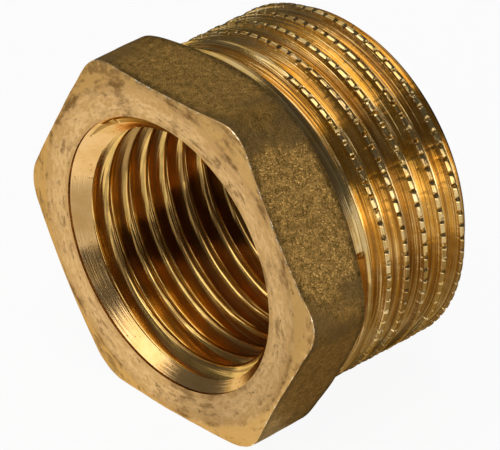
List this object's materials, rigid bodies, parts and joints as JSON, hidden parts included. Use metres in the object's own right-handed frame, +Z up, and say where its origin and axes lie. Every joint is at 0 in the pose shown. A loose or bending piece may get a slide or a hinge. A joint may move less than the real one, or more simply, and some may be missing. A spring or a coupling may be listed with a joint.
{
  "type": "hex bushing",
  "caption": "Hexagon-headed pipe reducing bush with a male pipe thread outside and a smaller female pipe thread through its bore.",
  "frame": {"origin": "on the surface the bush lies on, under the middle of its overall length, with one spanner flat down", "axes": "+Y along the bush's axis from the hexagon head towards the male thread's free end, +Z up and square to the top spanner flat, +X across the hexagon's corners"},
  "size_m": [0.03, 0.018, 0.0268],
  "materials": {
    "brass": "uncoated forging brass: sand-textured spanner flats, turned end faces, bright cut threads with knurled crests"
  },
  "bodies": {
    "root": {"hex_bushing": "brass"}
  },
  "joints": []
}
